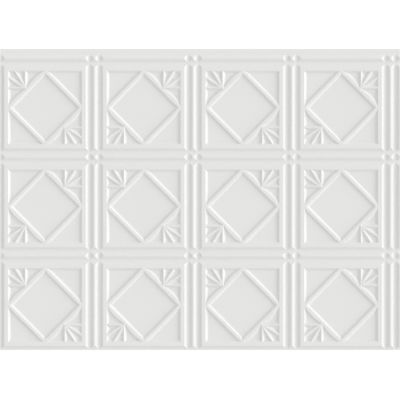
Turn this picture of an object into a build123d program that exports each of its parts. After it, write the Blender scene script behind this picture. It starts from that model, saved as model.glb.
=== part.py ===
from build123d import *
from math import atan2, degrees, radians, sqrt, tan
import os

# Formed wall panel: one thin plastic sheet, pressed into a grid of framed squares.
# The sheet lies face up. X runs along its long side and Y up the face as it hangs on the wall.
# The origin is the middle of the back, and the lowest surface of the back is at Z = 0.
# Widths of the relief are given at its top level, and each slope falls from there to the floor.

# Sheet
sheet_thickness = 0.8
relief_height = 3.0

# Grid of squares, and the band between the frames of two neighbours
module_pitch = 152.4
columns = 4
rows = 3
band_width = 26.4

# Raised frame round each square
frame_border = 6.0
frame_run = 3.6
frame_crown = 1.2

# Slope of the hollows inside the frame
hollow_run = 3.4
valley_floor = 0.6

# Diamond ridge: what the frame keeps beyond its corners, and the ridge's flat top
corner_border = 9.3
ridge_top = 3.7

# Bowed side of the ridge beside a fan: its ends are set in from the straight ridge's edge
bow_inset = 0.9
bow_gap = 1.5
ridge_bulge = 2.3

# Fans of petals in two opposite corners of each square
root_gap = 1.6
petal_lean = 31.5
crest_width = 1.0
root_land = 4.0

# Beads in the bands, and a dot where two beads cross
bead_top = 3.2
bead_run = 3.6
bead_crown = 4.0

# Edges: plain flange on the left and bottom, start of the next squares on the right,
# and a plain lap above the top row's beads
flange_width = 3.0
lap_strip = 1.6
top_lap = 9.6

# Sizes that follow
top_level = sheet_thickness + relief_height
frame_top = module_pitch - band_width
frame_foot = frame_top + 2 * frame_run
recess_edge = frame_top / 2 - frame_border
diamond_side = (frame_top / 2 - corner_border) * sqrt(2)
ridge_edge = diamond_side / 2 + ridge_top
ridge_end = ridge_edge * sqrt(2) - recess_edge
bow_edge = ridge_edge - bow_inset
bow_end = bow_edge * sqrt(2) - recess_edge
fan_root = (ridge_edge + root_gap) / sqrt(2)
petal_end = fan_root + (recess_edge - fan_root) * tan(radians(petal_lean))
bead_foot = bead_top + 2 * bead_run
near_edge = frame_foot / 2 + flange_width
right_edge = module_pitch - frame_top / 2 + lap_strip
top_edge = module_pitch / 2 + bead_foot / 2 + top_lap
sheet_length = near_edge + (columns - 1) * module_pitch + right_edge
sheet_height = near_edge + (rows - 1) * module_pitch + top_edge
first_x = near_edge - sheet_length / 2
first_y = near_edge - sheet_height / 2


def mound(length, width, run, crown):
    """A raised piece, its foot at the given size: upright, then sloping, then rounded to a flat top."""
    with BuildPart() as raised:
        with BuildSketch():
            Rectangle(length, width)
        extrude(amount=sheet_thickness)
        with BuildSketch(Plane.XY.offset(sheet_thickness)):
            Rectangle(length, width)
        extrude(amount=relief_height, taper=degrees(atan2(run, relief_height)))
        fillet(raised.edges().group_by(Axis.Z)[-1], radius=crown)
    return raised.part


def hollow(outline, run=hollow_run):
    """The space of a hollow: the mirror image of a block that rises from the outline on the top level."""
    with BuildPart() as space:
        with BuildSketch(Plane.XY.offset(top_level)):
            add(outline)
        extrude(amount=relief_height, taper=degrees(atan2(run, relief_height)))
        mirror(about=Plane.XY.offset(top_level), mode=Mode.REPLACE)
    return space.part


def valley(outline):
    """The space of a narrow hollow, steep enough to leave a floor in it."""
    inscribed_radius = 2 * outline.area / outline.face().outer_wire().length
    return hollow(outline, min(hollow_run, inscribed_radius - valley_floor))


def diamond():
    """Outline of the diamond at the ridge's inner top edge."""
    with BuildSketch() as field:
        Rectangle(diamond_side, diamond_side, rotation=45)
    return field.sketch


def plain_corner():
    """Outline of the three-sided hollow between the frame and a straight ridge."""
    with BuildSketch() as corner:
        with BuildLine():
            Polyline(
                (recess_edge, ridge_end),
                (recess_edge, recess_edge),
                (ridge_end, recess_edge),
                close=True,
            )
        make_face()
    return corner.sketch


def fan_side():
    """Outline of the hollow between the bowed ridge and the upright petal."""
    petal_side = fan_root - crest_width / 2
    root = (petal_side, fan_root + crest_width)
    neck = ((bow_edge - bow_gap) / sqrt(2), (bow_edge + bow_gap) / sqrt(2))
    tip = (bow_end, recess_edge)
    with BuildSketch() as corner:
        with BuildLine():
            Polyline(neck, root, (petal_side, recess_edge), tip)
            SagittaArc(tip, neck, ridge_bulge)
        make_face()
    return corner.sketch


def fan_valley():
    """Outline of the valley between the upright petal and the next one."""
    petal_side = fan_root + crest_width / 2
    with BuildSketch() as corner:
        with BuildLine():
            Polyline(
                (petal_side, fan_root + root_land),
                (petal_end - crest_width / 2, recess_edge),
                (petal_side, recess_edge),
                close=True,
            )
        make_face()
    return corner.sketch


def fan_middle():
    """Outline of the valley that runs from the root into the corner of the frame."""
    petal_side = petal_end + crest_width / 2
    apex = fan_root + root_land / 2
    with BuildSketch() as corner:
        with BuildLine():
            Polyline(
                (apex, apex),
                (recess_edge, petal_side),
                (recess_edge, recess_edge),
                (petal_side, recess_edge),
                close=True,
            )
        make_face()
    return corner.sketch


def framed_square(fan_turns, plain_turns):
    """One square's front form: frame, diamond ridge, fans and plain corners."""
    diagonal = Plane(origin=(0, 0, 0), z_dir=(1, -1, 0))
    upright_half = [hollow(fan_side()), valley(fan_valley())]
    level_half = [mirror(space, about=diagonal) for space in upright_half]
    fan = [*upright_half, valley(fan_middle()), *level_half]
    with BuildPart() as square:
        add(mound(frame_foot, frame_foot, frame_run, frame_crown))
        add(hollow(diamond()), mode=Mode.SUBTRACT)
        for turn in plain_turns:
            add(hollow(plain_corner()).rotate(Axis.Z, turn), mode=Mode.SUBTRACT)
        for turn in fan_turns:
            add([space.rotate(Axis.Z, turn) for space in fan], mode=Mode.SUBTRACT)
    return square.part


def formed_shell(front):
    """A front form hollowed from behind, so that the back follows the front at one thickness."""
    with BuildPart() as shell:
        add(front)
        with Locations((0, 0, -sheet_thickness)):
            add(front, mode=Mode.SUBTRACT)
    return shell.part


def centre(column, row):
    """Middle of a square, counted from the lower left, or of a band at a half step."""
    return (first_x + column * module_pitch, first_y + row * module_pitch)


# Raised pieces of the relief, each hollow behind
falling_square = formed_shell(framed_square(fan_turns=(90, 270), plain_turns=(0, 180)))
rising_square = formed_shell(framed_square(fan_turns=(0, 180), plain_turns=(90, 270)))
next_square = formed_shell(mound(frame_foot, frame_foot, frame_run, frame_crown))
upright_bead = formed_shell(mound(bead_foot, frame_foot, bead_run, bead_crown))
level_bead = formed_shell(mound(frame_foot, bead_foot, bead_run, bead_crown))
crossing_dot = formed_shell(mound(bead_foot, bead_foot, bead_run, bead_crown))

# Their places
falling_places = [centre(c, r) for c in range(columns) for r in range(rows) if (c + r) % 2 == 0]
rising_places = [centre(c, r) for c in range(columns) for r in range(rows) if (c + r) % 2 == 1]
next_places = [centre(columns, r) for r in range(rows)]
upright_places = [centre(c + 0.5, r) for c in range(columns) for r in range(rows)]
level_places = [centre(c, r + 0.5) for c in range(columns + 1) for r in range(rows)]
dot_places = [centre(c + 0.5, r + 0.5) for c in range(columns) for r in range(rows)]

with BuildPart() as wall_panel:
    # Flat floor of the grooves, open where the relief rises
    with BuildSketch():
        Rectangle(sheet_length, sheet_height)
        with Locations(*falling_places, *rising_places, *next_places):
            Rectangle(frame_foot, frame_foot, mode=Mode.SUBTRACT)
        with Locations(*upright_places):
            Rectangle(bead_foot, frame_foot, mode=Mode.SUBTRACT)
        with Locations(*level_places):
            Rectangle(frame_foot, bead_foot, mode=Mode.SUBTRACT)
        with Locations(*dot_places):
            Rectangle(bead_foot, bead_foot, mode=Mode.SUBTRACT)
    extrude(amount=sheet_thickness)

    # The relief
    with Locations(*falling_places):
        add(falling_square)
    with Locations(*rising_places):
        add(rising_square)
    with Locations(*next_places):
        add(next_square)
    with Locations(*upright_places):
        add(upright_bead)
    with Locations(*level_places):
        add(level_bead)
    with Locations(*dot_places):
        add(crossing_dot)

    # Trim to the sheet's edges
    with BuildSketch():
        Rectangle(sheet_length, sheet_height)
    extrude(amount=top_level, mode=Mode.INTERSECT)

wall_panel.part.label = "wall_panel"
os.makedirs("parts", exist_ok=True)
export_step(wall_panel.part, "parts/wall_panel.step")
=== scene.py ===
"""Formed wall panel: one thin white vinyl sheet, pressed into framed squares.

The sheet lies face up on a pale floor and the camera looks straight down on it.
One quarter of a square is modelled as a block from which the hollows are cut, in
a plain form and in a form with a fan. Copies of the two make the whole pattern.
The pattern is trimmed to the sheet, its edges are rounded and it gets its thickness.
"""

import logging
import math
from dataclasses import dataclass, field
from enum import Enum
from typing import Callable, Dict, List, Sequence, Tuple, Union

import bmesh
import bpy
from mathutils import Euler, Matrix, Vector


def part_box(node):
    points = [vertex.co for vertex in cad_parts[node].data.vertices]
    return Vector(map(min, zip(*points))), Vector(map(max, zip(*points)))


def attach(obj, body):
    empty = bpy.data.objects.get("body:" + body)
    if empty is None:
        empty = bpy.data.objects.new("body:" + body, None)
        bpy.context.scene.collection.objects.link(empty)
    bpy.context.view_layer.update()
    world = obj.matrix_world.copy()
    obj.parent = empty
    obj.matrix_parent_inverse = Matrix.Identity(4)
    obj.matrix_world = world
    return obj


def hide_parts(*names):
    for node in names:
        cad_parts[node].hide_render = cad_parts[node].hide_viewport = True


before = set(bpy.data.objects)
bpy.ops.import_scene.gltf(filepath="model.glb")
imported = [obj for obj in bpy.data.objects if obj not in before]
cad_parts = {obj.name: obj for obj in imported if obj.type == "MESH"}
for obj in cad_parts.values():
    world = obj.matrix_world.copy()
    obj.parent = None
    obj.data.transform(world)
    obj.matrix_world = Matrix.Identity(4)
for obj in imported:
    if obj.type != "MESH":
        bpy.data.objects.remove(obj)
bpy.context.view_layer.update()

MM = 0.001
ROUNDING_LAYER = "bevel_weight_edge"
QUARTER_TURNS = (0, 90, 180, 270)

# Distances within which points are merged, or count as lying on a cut
CUT_TOLERANCE = 0.001 * MM
CARVED_TOLERANCE = 0.002 * MM
SEAM_TOLERANCE = 0.005 * MM
ROUNDED_TOLERANCE = 0.05 * MM

# Neighbouring faces that turn less than this are made one
FLAT_ANGLE = math.radians(0.3)

# A face looks up if the Z of its normal is above the first. Below the second it is upright or looks down
UPWARD_NORMAL = 0.5
UPRIGHT_NORMAL = 0.1

# The sRGB curve, which is straight near black
SRGB_BYTE = 255
SRGB_STRAIGHT_END = 0.04045
SRGB_STRAIGHT_SLOPE = 12.92
SRGB_OFFSET = 0.055
SRGB_SCALE = 1.055
SRGB_POWER = 2.4

# Places of a Mix node's colour sockets, because its sockets for other data have the same names
MIX_COLOUR_A = 6
MIX_COLOUR_B = 7
MIX_COLOUR_RESULT = 2

log = logging.getLogger("wall_panel")

Point = Tuple[float, float]
Side = Tuple[Point, Point]
Colour = Tuple[float, float, float, float]
FaceTest = Callable[[bmesh.types.BMFace], bool]

WHITE: Colour = (1.0, 1.0, 1.0, 1.0)


class Corner(Enum):
    """What a corner of a square holds."""

    PLAIN = "plain"
    FAN = "fan"


class Lean(Enum):
    """Which two corners of a square hold the fans, by the turns of the quarter that has one."""

    FALLING = (90, 270)
    RISING = (0, 180)


def linear(hex_colour: str) -> Colour:
    """Turn an sRGB hex colour into a linear colour with alpha.

    Args:
        hex_colour: six hex digits, such as "e6e6e4".

    Returns:
        Red, green, blue and alpha, each from 0 to 1.
    """
    channels = []
    for start in (0, 2, 4):
        value = int(hex_colour[start : start + 2], 16) / SRGB_BYTE
        if value <= SRGB_STRAIGHT_END:
            channels.append(value / SRGB_STRAIGHT_SLOPE)
        else:
            channels.append(((value + SRGB_OFFSET) / SRGB_SCALE) ** SRGB_POWER)
    return (channels[0], channels[1], channels[2], 1.0)


def add_node(
    tree: bpy.types.NodeTree,
    kind: str,
    settings: Dict[str, object],
    links: Dict[Union[str, int], bpy.types.NodeSocket],
) -> bpy.types.Node:
    """Add a node with its settings, and link its inputs.

    Args:
        tree: the node tree of a material or world.
        kind: the node's type name.
        settings: values by name, of an input socket if it has one, or else of the node.
        links: output sockets by the name or the place of the input that each feeds.

    Returns:
        The new node.
    """
    node = tree.nodes.new(kind)
    for name, value in settings.items():
        if name in node.inputs:
            node.inputs[name].default_value = value
        else:
            setattr(node, name, value)
    for socket, source in links.items():
        tree.links.new(source, node.inputs[socket])
    return node


def only_select(thing: bpy.types.Object) -> None:
    """Deselect everything, then select and activate one object.

    Args:
        thing: the object to select.
    """
    bpy.ops.object.select_all(action="DESELECT")
    thing.select_set(True)
    bpy.context.view_layer.objects.active = thing


def begin_edit(thing: bpy.types.Object) -> None:
    """Put one object in edit mode."""
    only_select(thing)
    bpy.ops.object.mode_set(mode="EDIT")


def end_edit() -> None:
    """Go back to object mode."""
    bpy.ops.object.mode_set(mode="OBJECT")


def merge_points(distance: float) -> None:
    """Merge the points within a distance of each other, of the object in edit mode."""
    bpy.ops.mesh.select_all(action="SELECT")
    bpy.ops.mesh.remove_doubles(threshold=distance)


def looks_up(face: bmesh.types.BMFace) -> bool:
    """Whether a face is level or slopes gently, and is seen from above."""
    return face.normal.z > UPWARD_NORMAL


def pick_faces(thing: bpy.types.Object, test: FaceTest) -> None:
    """Select the faces that pass a test.

    Args:
        thing: an object in edit mode.
        test: says whether a face is selected.
    """
    bpy.ops.mesh.select_mode(type="FACE")
    bpy.ops.mesh.select_all(action="DESELECT")
    shape = bmesh.from_edit_mesh(thing.data)
    for face in shape.faces:
        if test(face):
            face.select_set(True)
    bmesh.update_edit_mesh(thing.data)


def new_block(name: str, low: Sequence[float], high: Sequence[float]) -> bpy.types.Object:
    """Add a box between two corners.

    Args:
        name: the object's name.
        low: the lowest corner.
        high: the highest corner.

    Returns:
        The box, with its place in its mesh.
    """
    middle = [(least + most) / 2 for least, most in zip(low, high)]
    size = [most - least for least, most in zip(low, high)]
    bpy.ops.object.select_all(action="DESELECT")
    bpy.ops.mesh.primitive_cube_add(size=1, location=middle, scale=size)
    block = bpy.context.active_object
    block.name = name
    bpy.ops.object.transform_apply(location=True, rotation=True, scale=True)
    return block


def apply_modifier(thing: bpy.types.Object, kind: str, settings: Dict[str, object]) -> None:
    """Add a modifier to an object and apply it.

    Args:
        thing: the object to change.
        kind: the modifier's type name.
        settings: the modifier's values by name.
    """
    only_select(thing)
    modifier = thing.modifiers.new(kind.lower(), kind)
    for name, value in settings.items():
        setattr(modifier, name, value)
    bpy.ops.object.modifier_apply(modifier=modifier.name)


def carve(thing: bpy.types.Object, tool: bpy.types.Object) -> None:
    """Take a tool's shape out of an object, and delete the tool."""
    apply_modifier(thing, "BOOLEAN", {"operation": "DIFFERENCE", "solver": "EXACT", "object": tool})
    bpy.data.objects.remove(tool)


def copy_of(thing: bpy.types.Object, turn: float, place: Point) -> bpy.types.Object:
    """Copy an object with its own mesh, turned about the origin and then moved.

    Args:
        thing: the object to copy.
        turn: the turn about Z, in degrees.
        place: where its origin goes, in plan.

    Returns:
        The copy, with its place in its mesh.
    """
    only_select(thing)
    bpy.ops.object.duplicate(linked=False)
    copy = bpy.context.active_object
    copy.rotation_euler = Euler((0, 0, math.radians(turn)))
    copy.location = (place[0], place[1], 0)
    bpy.ops.object.transform_apply(location=True, rotation=True, scale=True)
    return copy


def join(pieces: List[bpy.types.Object], name: str) -> bpy.types.Object:
    """Join objects, and merge the points where they meet.

    Args:
        pieces: the objects, of which the first takes in the others.
        name: the name of the whole.

    Returns:
        The first object, which is now the whole.
    """
    bpy.ops.object.select_all(action="DESELECT")
    for piece in pieces:
        piece.select_set(True)
    whole = pieces[0]
    bpy.context.view_layer.objects.active = whole
    bpy.ops.object.join()
    whole.name = name
    begin_edit(whole)
    merge_points(SEAM_TOLERANCE)
    end_edit()
    return whole


@dataclass(frozen=True)
class Relief:
    """Sizes of the sheet's relief, in metres, and the lean of a petal, in radians.

    Widths are at the top level unless named otherwise, and a run is the width of a slope.
    """

    thickness: float = 0.8 * MM
    height: float = 3.0 * MM
    pitch: float = 152.4 * MM
    columns: int = 4
    rows: int = 3
    band: float = 26.4 * MM
    frame_border: float = 6.0 * MM
    frame_run: float = 3.6 * MM
    hollow_run: float = 3.4 * MM
    valley_floor: float = 0.6 * MM
    corner_border: float = 9.3 * MM
    ridge_top: float = 3.7 * MM
    bow_inset: float = 0.9 * MM
    bow_gap: float = 1.5 * MM
    ridge_bulge: float = 2.3 * MM
    root_gap: float = 1.6 * MM
    petal_lean: float = math.radians(31.5)
    crest: float = 1.0 * MM
    root_land: float = 4.0 * MM
    bead_top: float = 3.2 * MM
    bead_run: float = 3.6 * MM
    flange: float = 3.0 * MM

    @property
    def half_pitch(self) -> float:
        """Half the distance from one square to the next."""
        return self.pitch / 2

    @property
    def top_level(self) -> float:
        """Height of the flat tops above the lowest level of the back."""
        return self.thickness + self.height

    @property
    def frame_top(self) -> float:
        """Half the width of a frame at its outer top edge."""
        return (self.pitch - self.band) / 2

    @property
    def frame_foot(self) -> float:
        """Half the width of a frame at its foot."""
        return self.frame_top + self.frame_run

    @property
    def recess(self) -> float:
        """Distance from a square's middle to the frame's inner edge."""
        return self.frame_top - self.frame_border

    @property
    def bead_foot(self) -> float:
        """Half the width of a bead at its foot."""
        return self.bead_top / 2 + self.bead_run

    @property
    def diamond_reach(self) -> float:
        """Distance from a square's middle to a corner of the diamond."""
        return self.frame_top - self.corner_border

    @property
    def ridge_edge(self) -> float:
        """Distance from a square's middle, square to the ridge, to the ridge's outer top edge."""
        return self.diamond_reach / math.sqrt(2) + self.ridge_top

    @property
    def ridge_end(self) -> float:
        """Where the ridge's outer edge meets the frame's inner edge, from the square's middle line."""
        return self.ridge_edge * math.sqrt(2) - self.recess

    @property
    def bow_edge(self) -> float:
        """Distance from a square's middle to the line on which the ends of a bowed side lie."""
        return self.ridge_edge - self.bow_inset

    @property
    def bow_end(self) -> float:
        """Where a bowed side meets the frame's inner edge, from the square's middle line."""
        return self.bow_edge * math.sqrt(2) - self.recess

    @property
    def fan_root(self) -> float:
        """How far the root of a fan lies from the square's middle, along each side."""
        return (self.ridge_edge + self.root_gap) / math.sqrt(2)

    @property
    def petal_end(self) -> float:
        """How far along the frame the leaning petal meets it."""
        return self.fan_root + (self.recess - self.fan_root) * math.tan(self.petal_lean)

    @property
    def lap_start(self) -> float:
        """How far above the last row's middle its top groove is drawn out into the plain lap."""
        return self.half_pitch + (self.bead_foot + self.half_pitch - self.frame_foot) / 2


@dataclass(frozen=True)
class Rounding:
    """How far from each kind of edge its rounding starts, in metres, and how the result is shaded.

    Only creases above the least one, in radians, are rounded, and of the mitres between two
    slopes only those below the sharp one. The edge of a floor gets no more than a share of the
    floor's inscribed radius. An edge is on a level if it is nearer to it than a share of the
    relief's height. Edges below the smooth angle are shaded smooth, and the flat weight, from 1
    to 100, says how much the large faces decide there.
    """

    frame_crown: float = 0.7 * MM
    bead_crown: float = 1.5 * MM
    hollow_rim: float = 0.15 * MM
    groove_foot: float = 1.4 * MM
    hollow_foot: float = 1.0 * MM
    mitre: float = 0.3 * MM
    least_crease: float = math.radians(4)
    sharp_crease: float = math.radians(70)
    floor_share: float = 0.75
    level_share: float = 0.05
    segments: int = 3
    smooth_angle: float = math.radians(35)
    flat_weight: int = 80

    @property
    def widest(self) -> float:
        """The widest rounding, which has a weight of 1."""
        return max(self.bead_crown, self.hollow_foot, self.groove_foot)


@dataclass(frozen=True)
class Hollow:
    """A hollow with sloping sides. Its outline is on the top level and runs anticlockwise.

    A hollow with a bulge has a bowed first side, which curves into the hollow by that much. Its
    tool reaches past the top level by the spare, and the bow is cut by a cone of so many sides.
    """

    relief: Relief
    outline: List[Point]
    bulge: float = 0.0
    spare: float = 2.0 * MM
    arc_sides: int = 50

    @property
    def sides(self) -> List[Side]:
        """The outline's straight lines, each by its two ends."""
        return list(zip(self.outline, [*self.outline[1:], self.outline[0]]))

    @property
    def run(self) -> float:
        """Work out the width of the slope.

        Returns:
            The usual width, or less where the hollow is too narrow to keep a floor.
        """
        area = sum(start[0] * end[1] - end[0] * start[1] for start, end in self.sides) / 2
        inscribed_radius = 2 * area / sum(math.dist(start, end) for start, end in self.sides)
        return min(self.relief.hollow_run, inscribed_radius - self.relief.valley_floor)

    def tool(self) -> bpy.types.Object:
        """Model the hollow's space.

        Returns:
            A block from the floor to past the top level, cut along each sloping side.
        """
        relief = self.relief
        across = [x for x, _ in self.outline]
        along = [y for _, y in self.outline]
        margin = self.bulge + 2 * self.run
        low = (min(across) - margin, min(along) - margin, relief.thickness)
        high = (max(across) + margin, max(along) + margin, relief.top_level + self.spare)
        block = new_block("hollow_tool", low, high)
        begin_edit(block)
        for start, end in self.sides[1:] if self.bulge else self.sides:
            side = Vector(end) - Vector(start)
            outwards = Vector((side.y, -side.x)).normalized()
            bpy.ops.mesh.select_all(action="SELECT")
            bpy.ops.mesh.bisect(
                plane_co=(start[0], start[1], relief.top_level),
                plane_no=(outwards.x * relief.height, outwards.y * relief.height, -self.run),
                clear_outer=True,
                use_fill=True,
                threshold=CUT_TOLERANCE,
            )
        end_edit()
        if self.bulge:
            carve(block, self.bowed_bank())
        return block

    def bowed_bank(self) -> bpy.types.Object:
        """Model the bank behind the bowed side.

        Returns:
            A wide cone. One of its sides is centred on the bow, so that none of its edges ends
            in a corner of the hollow.
        """
        relief = self.relief
        start, end = Vector(self.outline[0]), Vector(self.outline[1])
        side = end - start
        inwards = Vector((-side.y, side.x)).normalized()
        radius = (side.length_squared / 4 + self.bulge**2) / (2 * self.bulge)
        centre = (start + end) / 2 - inwards * (radius - self.bulge)
        beyond = 2 * self.spare
        slope = self.run / relief.height
        half_side = math.pi / self.arc_sides
        to_corners = 1 / math.cos(half_side)
        bearing = math.atan2(inwards.y, inwards.x) - math.pi / 2 + half_side
        bpy.ops.object.select_all(action="DESELECT")
        bpy.ops.mesh.primitive_cone_add(
            vertices=self.arc_sides,
            radius1=(radius + (relief.height + beyond) * slope) * to_corners,
            radius2=(radius - beyond * slope) * to_corners,
            depth=relief.height + 2 * beyond,
            location=(centre.x, centre.y, relief.thickness + relief.height / 2),
            rotation=(0, 0, bearing),
        )
        bank = bpy.context.active_object
        bpy.ops.object.transform_apply(location=True, rotation=True, scale=True)
        return bank


@dataclass(frozen=True)
class QuarterSquare:
    """One quarter of a square with its half bands, from the square's middle outwards.

    The base is the level at which its block starts. A point is on a side of a pressed area if
    it is nearer to it than a share of that side's slope.
    """

    relief: Relief
    rounding: Rounding
    corner: Corner
    base: float = -6.0 * MM
    side_share: float = 0.1

    def build(self) -> bpy.types.Object:
        """Model the quarter's front surface.

        Returns:
            The open surface, with the rounding of each edge marked on it.
        """
        half = self.relief.half_pitch
        level = self.relief.thickness
        quarter = new_block(f"quarter_{self.corner.value}", (0, 0, self.base), (half, half, level))
        begin_edit(quarter)
        self.raise_bands_and_frame(quarter)
        end_edit()
        for hollow in self.hollows():
            carve(quarter, hollow.tool())
        begin_edit(quarter)
        self.open_back(quarter)
        self.mark_rounding(quarter)
        end_edit()
        return quarter

    def raise_bands_and_frame(self, quarter: bpy.types.Object) -> None:
        """Lay out the feet on the block's top, and press up the half beads, the dot and the frame.

        Args:
            quarter: the block, in edit mode.
        """
        relief = self.relief
        foot = relief.frame_foot
        edge = relief.half_pitch
        bead = edge - relief.bead_foot
        for line in (foot, bead):
            for across in ((line, 0, 0), (0, line, 0)):
                pick_faces(quarter, looks_up)
                direction = Vector(across).normalized()
                bpy.ops.mesh.bisect(plane_co=across, plane_no=direction, threshold=CUT_TOLERANCE)
        self.press_up(quarter, (bead, 0), (edge, foot), relief.bead_run)
        self.press_up(quarter, (0, bead), (foot, edge), relief.bead_run)
        self.press_up(quarter, (bead, bead), (edge, edge), relief.bead_run)
        self.press_up(quarter, (0, 0), (foot, foot), relief.frame_run)

    def press_up(self, quarter: bpy.types.Object, low: Point, high: Point, run: float) -> None:
        """Press a laid-out area up to the top level, with a slope on the sides inside the quarter.

        Args:
            quarter: the block, in edit mode.
            low: the area's lowest corner in plan.
            high: its highest corner in plan.
            run: width of its slope.
        """
        relief = self.relief

        def within(face: bmesh.types.BMFace) -> bool:
            """Whether a face looks up and has its middle in the area."""
            middle = face.calc_center_median()
            inside = all(least < at < most for least, at, most in zip(low, middle, high))
            return inside and looks_up(face)

        pick_faces(quarter, within)
        bpy.ops.mesh.extrude_region_move(TRANSFORM_OT_translate={"value": (0, 0, relief.height)})
        shape = bmesh.from_edit_mesh(quarter.data)
        near = self.side_share * run
        for point in {point for face in shape.faces if face.select for point in face.verts}:
            for axis in (0, 1):
                if low[axis] > 0 and point.co[axis] < low[axis] + near:
                    point.co[axis] += run
                elif high[axis] < relief.half_pitch and point.co[axis] > high[axis] - near:
                    point.co[axis] -= run
        bmesh.update_edit_mesh(quarter.data)

    def hollows(self) -> List[Hollow]:
        """List the hollows to cut.

        Returns:
            The diamond, and the one of a plain corner or the five that leave a fan.
        """
        relief = self.relief
        reach = relief.diamond_reach
        diamond = Hollow(relief, [(-reach, 0), (0, -reach), (reach, 0), (0, reach)])
        if self.corner is Corner.FAN:
            return [diamond, *self.fan_hollows()]
        recess = relief.recess
        ridge_end = relief.ridge_end
        return [diamond, Hollow(relief, [(recess, ridge_end), (recess, recess), (ridge_end, recess)])]

    def fan_hollows(self) -> List[Hollow]:
        """List the hollows that leave a fan.

        Returns:
            The one beside each bowed ridge, two valleys and the one that runs into the corner.
        """
        relief = self.relief
        root = relief.fan_root
        recess = relief.recess
        half_crest = relief.crest / 2
        near = root - half_crest
        far = root + half_crest
        apex = root + relief.root_land / 2
        neck = (
            (relief.bow_edge - relief.bow_gap) / math.sqrt(2),
            (relief.bow_edge + relief.bow_gap) / math.sqrt(2),
        )
        beside_ridge = [(relief.bow_end, recess), neck, (near, root + relief.crest), (near, recess)]
        valley = [(far, root + relief.root_land), (relief.petal_end - half_crest, recess), (far, recess)]
        lean = relief.petal_end + half_crest
        middle = [(apex, apex), (recess, lean), (recess, recess), (lean, recess)]
        return [
            Hollow(relief, beside_ridge, bulge=relief.ridge_bulge),
            Hollow(relief, valley),
            Hollow(relief, middle),
            Hollow(relief, self.mirrored(valley)),
            Hollow(relief, self.mirrored(beside_ridge), bulge=relief.ridge_bulge),
        ]

    @staticmethod
    def mirrored(outline: List[Point]) -> List[Point]:
        """The outline across the square's diagonal, its first side still first and anticlockwise."""
        flipped = [(y, x) for x, y in outline]
        return [flipped[1], flipped[0], *reversed(flipped[2:])]

    def open_back(self, quarter: bpy.types.Object) -> None:
        """Delete the block's base and its four upright sides, and clean up after the cuts.

        Args:
            quarter: the carved block, in edit mode.
        """
        pick_faces(quarter, lambda face: face.normal.z < UPRIGHT_NORMAL)
        bpy.ops.mesh.delete(type="FACE")
        merge_points(CARVED_TOLERANCE)
        bpy.ops.mesh.select_all(action="SELECT")
        bpy.ops.mesh.dissolve_limited(angle_limit=FLAT_ANGLE)

    def mark_rounding(self, quarter: bpy.types.Object) -> None:
        """Give each edge between two slopes or levels its rounding.

        Args:
            quarter: the open surface, in edit mode.
        """
        rounding = self.rounding
        shape = bmesh.from_edit_mesh(quarter.data)
        layer = shape.edges.layers.float.new(ROUNDING_LAYER)
        shape.normal_update()
        for edge in shape.edges:
            if len(edge.link_faces) == 2 and abs(edge.calc_face_angle_signed()) > rounding.least_crease:
                edge[layer] = self.rounding_of(edge) / rounding.widest
        bmesh.update_edit_mesh(quarter.data)

    def rounding_of(self, edge: bmesh.types.BMEdge) -> float:
        """Choose an edge's rounding by its level and by what it belongs to.

        Args:
            edge: an edge between two faces.

        Returns:
            How far from the edge its rounding starts.
        """
        relief = self.relief
        rounding = self.rounding
        middle = (edge.verts[0].co + edge.verts[1].co) / 2
        reach = max(middle.x, middle.y)
        near_level = rounding.level_share * relief.height
        if middle.z > relief.top_level - near_level:
            if reach > relief.frame_foot:
                return rounding.bead_crown
            on_outer_edge = reach > (relief.frame_top + relief.recess) / 2
            return rounding.frame_crown if on_outer_edge else rounding.hollow_rim
        if middle.z < relief.thickness + near_level:
            if reach > relief.frame_top:
                return rounding.groove_foot
            floor = min(edge.link_faces, key=lambda face: face.calc_center_median().z)
            inscribed_radius = 2 * floor.calc_area() / floor.calc_perimeter()
            return min(rounding.hollow_foot, rounding.floor_share * inscribed_radius)
        return rounding.mitre if edge.calc_face_angle() < rounding.sharp_crease else 0.0


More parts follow.
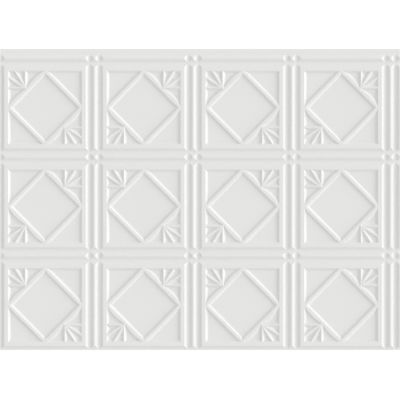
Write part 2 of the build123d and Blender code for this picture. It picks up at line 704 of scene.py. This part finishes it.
@dataclass(frozen=True)
class WhiteVinyl:
    """White rigid vinyl sheet, vacuum formed, with the even satin face that it has off the roll.

    To the eye it is a soft, slightly warm white with a broad dull sheen. A very fine grain
    breaks the sheen up, and the sheet's gloss varies a little from place to place. The grain is
    drawn about as coarse as it can be seen, because the real one is finer than that.
    """

    name: str = "white_vinyl"
    pale: str = "e7e7e6"
    deep: str = "e5e5e3"
    ior: float = 1.53
    gloss_low: float = 0.5
    gloss_high: float = 0.58
    grain_size: float = 0.9 * MM
    grain_depth: float = 0.01 * MM
    grain_detail: float = 3.0
    cloud_size: float = 60.0 * MM
    cloud_detail: float = 2.0

    def build(self) -> bpy.types.Material:
        """Make the material's nodes.

        Returns:
            The material, which reads Object coordinates.
        """
        material = bpy.data.materials.new(self.name)
        material.use_nodes = True
        tree = material.node_tree
        tree.nodes.clear()
        place = add_node(tree, "ShaderNodeTexCoord", {}, {}).outputs["Object"]
        clouds = add_node(
            tree,
            "ShaderNodeTexNoise",
            {"Scale": 1 / self.cloud_size, "Detail": self.cloud_detail},
            {"Vector": place},
        )
        grain = add_node(
            tree,
            "ShaderNodeTexNoise",
            {"Scale": 1 / self.grain_size, "Detail": self.grain_detail},
            {"Vector": place},
        )
        colour = add_node(
            tree, "ShaderNodeMix", {"data_type": "RGBA"}, {"Factor": clouds.outputs["Fac"]}
        )
        colour.inputs[MIX_COLOUR_A].default_value = linear(self.deep)
        colour.inputs[MIX_COLOUR_B].default_value = linear(self.pale)
        gloss = add_node(
            tree,
            "ShaderNodeMapRange",
            {"To Min": self.gloss_low, "To Max": self.gloss_high},
            {"Value": clouds.outputs["Fac"]},
        )
        bump = add_node(
            tree, "ShaderNodeBump", {"Distance": self.grain_depth}, {"Height": grain.outputs["Fac"]}
        )
        surface = add_node(
            tree,
            "ShaderNodeBsdfPrincipled",
            {"IOR": self.ior},
            {
                "Base Color": colour.outputs[MIX_COLOUR_RESULT],
                "Roughness": gloss.outputs["Result"],
                "Normal": bump.outputs["Normal"],
            },
        )
        add_node(tree, "ShaderNodeOutputMaterial", {}, {"Surface": surface.outputs["BSDF"]})
        return material


@dataclass(frozen=True)
class PaleFloor:
    """A matt floor that looks white to the camera and in reflections, and keeps the sheet's shadow.

    Camera and glossy rays see a grey paint with a glow on top. All other rays meet a plain pale
    paint, so that the glow throws no light on the sheet.
    """

    name: str = "pale_floor"
    seen_paint: str = "7c7c7c"
    seen_glow: float = 0.85
    plain_paint: str = "e6e6e6"

    def build(self) -> bpy.types.Material:
        """Make the material's nodes.

        Returns:
            The material, which has no pattern.
        """
        material = bpy.data.materials.new(self.name)
        material.use_nodes = True
        tree = material.node_tree
        tree.nodes.clear()
        ray = add_node(tree, "ShaderNodeLightPath", {}, {})
        paint = add_node(tree, "ShaderNodeBsdfDiffuse", {"Color": linear(self.seen_paint)}, {})
        glow = add_node(tree, "ShaderNodeEmission", {"Strength": self.seen_glow}, {})
        seen = add_node(tree, "ShaderNodeAddShader", {}, {0: paint.outputs[0], 1: glow.outputs[0]})
        plain = add_node(tree, "ShaderNodeBsdfDiffuse", {"Color": linear(self.plain_paint)}, {})
        direct = add_node(
            tree,
            "ShaderNodeMath",
            {"operation": "MAXIMUM"},
            {0: ray.outputs["Is Camera Ray"], 1: ray.outputs["Is Glossy Ray"]},
        )
        surface = add_node(
            tree,
            "ShaderNodeMixShader",
            {},
            {"Fac": direct.outputs[0], 1: plain.outputs[0], 2: seen.outputs[0]},
        )
        add_node(tree, "ShaderNodeOutputMaterial", {}, {"Surface": surface.outputs[0]})
        return material


@dataclass(frozen=True)
class Sheet:
    """The whole panel: squares in rows and columns, trimmed to the sheet and given its thickness."""

    relief: Relief = field(default_factory=Relief)
    rounding: Rounding = field(default_factory=Rounding)
    finish: WhiteVinyl = field(default_factory=WhiteVinyl)
    node: str = "wall_panel"

    def build(self) -> bpy.types.Object:
        """Model and dress the panel, and put it in the place of its node.

        Returns:
            The panel's object.
        """
        squares = self.squares()
        copies = [copy_of(squares[lean], 0, place) for place, lean in self.places()]
        for square in squares.values():
            bpy.data.objects.remove(square)
        panel = join(copies, "formed_sheet")
        self.trim(panel)
        self.round_edges(panel)
        self.thicken(panel)
        self.smooth(panel)
        panel.data.materials.clear()
        panel.data.materials.append(self.finish.build())
        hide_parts(self.node)
        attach(panel, "root")
        return panel

    def squares(self) -> Dict[Lean, bpy.types.Object]:
        """Model the two kinds of square, each from four quarters.

        Returns:
            The squares, each with its middle at the origin.
        """
        quarters = {kind: QuarterSquare(self.relief, self.rounding, kind).build() for kind in Corner}
        squares = {}
        for lean in Lean:
            parts = []
            for turn in QUARTER_TURNS:
                kind = Corner.FAN if turn in lean.value else Corner.PLAIN
                parts.append(copy_of(quarters[kind], turn, (0, 0)))
            squares[lean] = join(parts, f"square_{lean.name.lower()}")
        for quarter in quarters.values():
            bpy.data.objects.remove(quarter)
        return squares

    def places(self) -> List[Tuple[Point, Lean]]:
        """Set out the squares, with one more column and row for the lapping edges.

        Returns:
            The middle and the kind of each square.
        """
        relief = self.relief
        low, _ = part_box(self.node)
        first = [low[axis] + relief.frame_foot + relief.flange for axis in (0, 1)]
        places = []
        for column in range(relief.columns + 1):
            for row in range(relief.rows + 1):
                lean = Lean.FALLING if (column + row) % 2 == 0 else Lean.RISING
                middle = (first[0] + column * relief.pitch, first[1] + row * relief.pitch)
                places.append((middle, lean))
        return places

    def trim(self, panel: bpy.types.Object) -> None:
        """Cut the pattern off at three of the sheet's edges, and above the beads at the top one.

        From that last cut, which runs along the floor of a groove, the plain lap is drawn out.

        Args:
            panel: the joined squares.
        """
        relief = self.relief
        low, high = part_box(self.node)
        last_row = low.y + relief.flange + relief.frame_foot + (relief.rows - 1) * relief.pitch
        groove = Vector((0, last_row + relief.lap_start, 0))
        cuts = [(low, (-1, 0, 0)), (low, (0, -1, 0)), (high, (1, 0, 0)), (groove, (0, 1, 0))]
        begin_edit(panel)
        for place, outwards in cuts:
            bpy.ops.mesh.select_all(action="SELECT")
            bpy.ops.mesh.bisect(
                plane_co=place, plane_no=outwards, clear_outer=True, threshold=CUT_TOLERANCE
            )
        lap = (0, high.y - groove.y, 0)
        bpy.ops.mesh.extrude_region_move(TRANSFORM_OT_translate={"value": lap})
        end_edit()

    def round_edges(self, panel: bpy.types.Object) -> None:
        """Round each marked edge, and merge the points that this leaves close together in sharp corners.

        Args:
            panel: the trimmed surface.
        """
        apply_modifier(
            panel,
            "BEVEL",
            {
                "limit_method": "WEIGHT",
                "offset_type": "OFFSET",
                "width": self.rounding.widest,
                "segments": self.rounding.segments,
                "use_clamp_overlap": False,
            },
        )
        begin_edit(panel)
        merge_points(ROUNDED_TOLERANCE)
        end_edit()

    def thicken(self, panel: bpy.types.Object) -> None:
        """Give the surface its back, straight below the front.

        Args:
            panel: the rounded surface.
        """
        begin_edit(panel)
        bpy.ops.mesh.select_all(action="SELECT")
        below = (0, 0, -self.relief.thickness)
        bpy.ops.mesh.extrude_region_move(TRANSFORM_OT_translate={"value": below})
        bpy.ops.mesh.select_all(action="SELECT")
        bpy.ops.mesh.normals_make_consistent(inside=False)
        end_edit()

    def smooth(self, panel: bpy.types.Object) -> None:
        """Shade the rounded edges smooth and keep the flats flat.

        Args:
            panel: the closed sheet.
        """
        only_select(panel)
        bpy.ops.object.shade_smooth_by_angle(angle=self.rounding.smooth_angle)
        settings = {"keep_sharp": True, "weight": self.rounding.flat_weight}
        apply_modifier(panel, "WEIGHTED_NORMAL", settings)


@dataclass(frozen=True)
class Studio:
    """A pale floor, soft light from all round and from the right, and the camera above."""

    sheet_width: float
    middle_height: float
    floor: PaleFloor = field(default_factory=PaleFloor)
    camera_height: float = 2.5
    sensor: float = 36.0
    aim_below: float = 0.77 * MM
    floor_size: float = 12.0
    ambient: float = 0.77
    key_strength: float = 1.75
    key_elevation: float = math.radians(22)
    key_bearing: float = math.radians(11)
    key_spread: float = math.radians(50)

    def build(self) -> None:
        """Make the floor, the lights and the camera."""
        self.lay_floor()
        self.light()
        self.look()

    def lay_floor(self) -> None:
        """Lay the floor at the lowest level of the sheet's back."""
        bpy.ops.object.select_all(action="DESELECT")
        bpy.ops.mesh.primitive_plane_add(size=self.floor_size)
        floor = bpy.context.active_object
        floor.name = "floor"
        bpy.ops.object.transform_apply(location=True, rotation=True, scale=True)
        floor.data.materials.append(self.floor.build())

    def light(self) -> None:
        """Light the sheet evenly, with a low broad light from the right."""
        world = bpy.data.worlds.new("studio")
        world.use_nodes = True
        tree = world.node_tree
        tree.nodes.clear()
        glow = add_node(tree, "ShaderNodeBackground", {"Color": WHITE, "Strength": self.ambient}, {})
        add_node(tree, "ShaderNodeOutputWorld", {}, {"Surface": glow.outputs[0]})
        bpy.context.scene.world = world
        lamp = bpy.data.lights.new("key", "SUN")
        lamp.energy = self.key_strength
        lamp.angle = self.key_spread
        key = bpy.data.objects.new("key", lamp)
        bpy.context.scene.collection.objects.link(key)
        level = math.cos(self.key_elevation)
        towards = Vector(
            (
                level * math.cos(self.key_bearing),
                level * math.sin(self.key_bearing),
                math.sin(self.key_elevation),
            )
        )
        key.rotation_euler = towards.to_track_quat("Z", "Y").to_euler()
        key.location = towards

    def look(self) -> None:
        """Hang the camera straight above the sheet, which just fills the picture's width."""
        lens = bpy.data.cameras.new("camera")
        lens.sensor_width = self.sensor
        lens.lens = self.sensor * self.camera_height / self.sheet_width
        camera = bpy.data.objects.new("camera", lens)
        bpy.context.scene.collection.objects.link(camera)
        camera.location = (0, -self.aim_below, self.camera_height + self.middle_height)
        bpy.context.scene.camera = camera


def main() -> None:
    """Build the panel and the studio, and report the piece."""
    logging.basicConfig(level=logging.INFO, format="%(message)s")
    low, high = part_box("wall_panel")
    panel = Sheet().build()
    panel.data.calc_loop_triangles()
    log.info("%s: %d triangles", panel.name, len(panel.data.loop_triangles))
    Studio(sheet_width=high.x - low.x, middle_height=(low.z + high.z) / 2).build()
    bpy.context.scene.view_settings.view_transform = "Standard"


if __name__ == "__main__":
    main()
